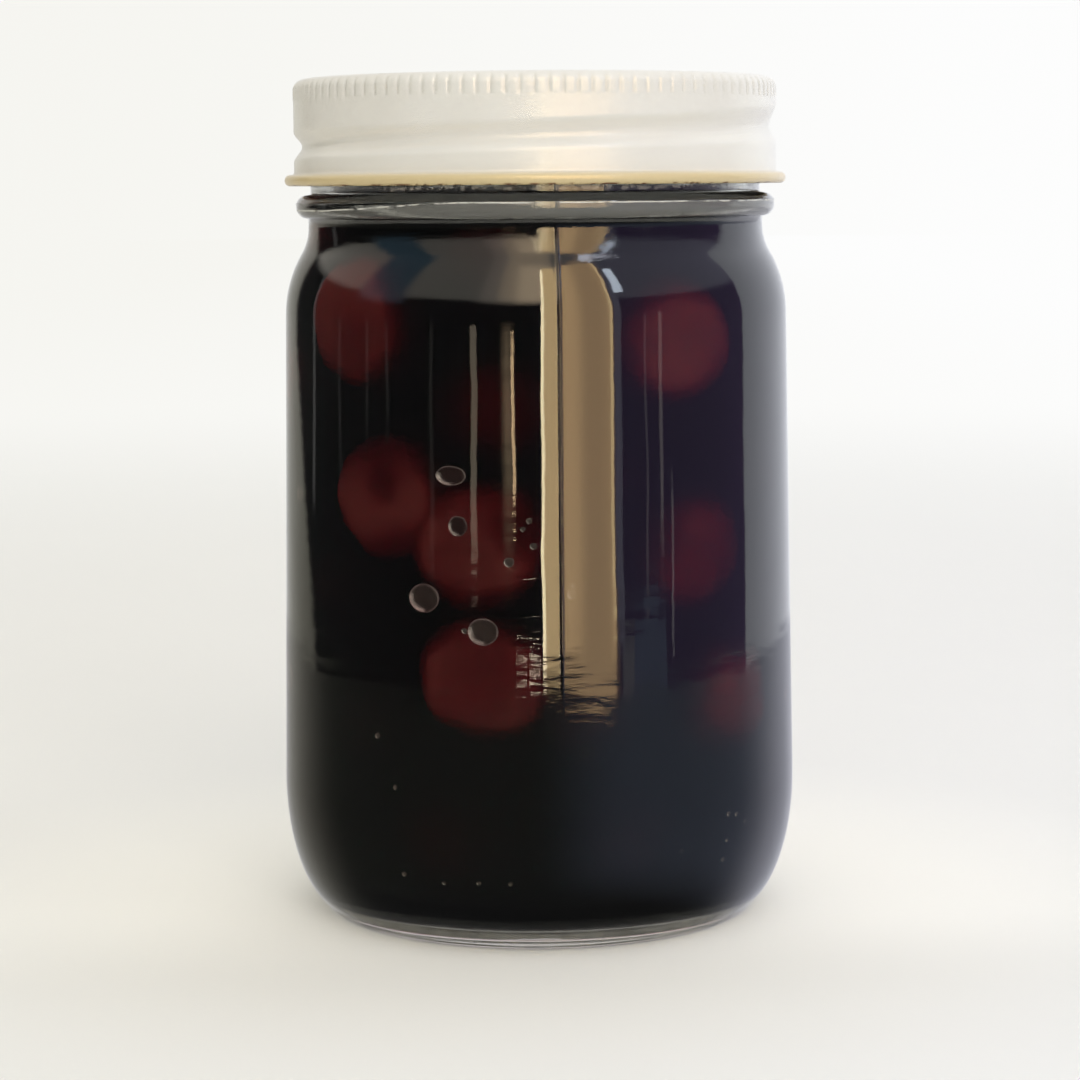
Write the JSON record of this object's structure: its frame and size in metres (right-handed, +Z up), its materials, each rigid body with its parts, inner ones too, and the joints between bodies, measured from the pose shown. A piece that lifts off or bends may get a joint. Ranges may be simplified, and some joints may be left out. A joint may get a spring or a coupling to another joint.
{
  "type": "glass jar of cherries with screw lid",
  "caption": "Clear glass preserving jar full of dark cherries in syrup, shut with a white screw lid that has a rolled thread, a knurled edge and a curled rim.",
  "frame": {"origin": "centre of the jar on the surface that it stands on", "axes": "+Z up along the jar's axis; the front of the jar, as pictured, faces -Y; +X is to the right of the front view"},
  "size_m": [0.0774, 0.0774, 0.125],
  "materials": {
    "clear_glass": "clear, smooth moulded glass with a faint grey-green tint",
    "white_enamel": "warm white enamel on tinplate, satin gloss",
    "cherry_skin": "dark red, soft, wet fruit skin",
    "dark_syrup": "clear but nearly black, purple-red syrup"
  },
  "bodies": {
    "root": {"glass_jar": "clear_glass", "screw_lid": "white_enamel", "cherries": "cherry_skin"}
  },
  "joints": []
}
